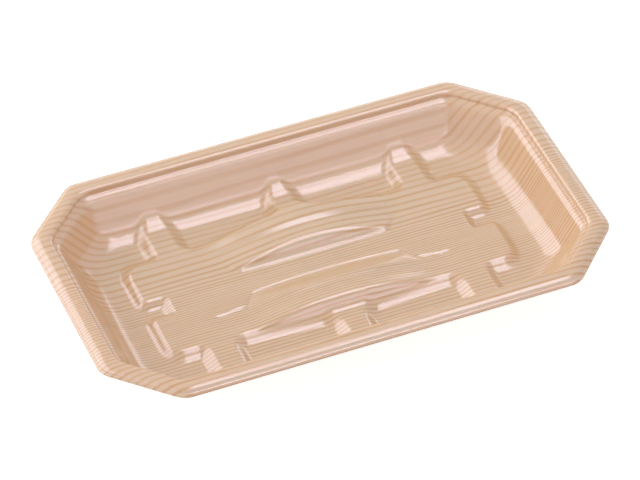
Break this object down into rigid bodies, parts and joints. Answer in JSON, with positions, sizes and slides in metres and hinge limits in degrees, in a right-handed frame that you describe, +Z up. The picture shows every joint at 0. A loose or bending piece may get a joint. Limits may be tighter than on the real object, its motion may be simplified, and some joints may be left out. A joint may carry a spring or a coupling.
{
  "type": "fish tray",
  "caption": "Shallow eight-sided food tray with a turned rim, sloping walls and a raised base with two arched waves, notches and drain gutters.",
  "frame": {"origin": "centre of the underside of the base", "axes": "+X along the long side, +Y across the tray, +Z up out of the open side"},
  "size_m": [0.21, 0.126, 0.0202],
  "materials": {
    "tray": "glossy, printed with a pale straight wood grain"
  },
  "bodies": {
    "root": {"tray": "tray"}
  },
  "joints": []
}
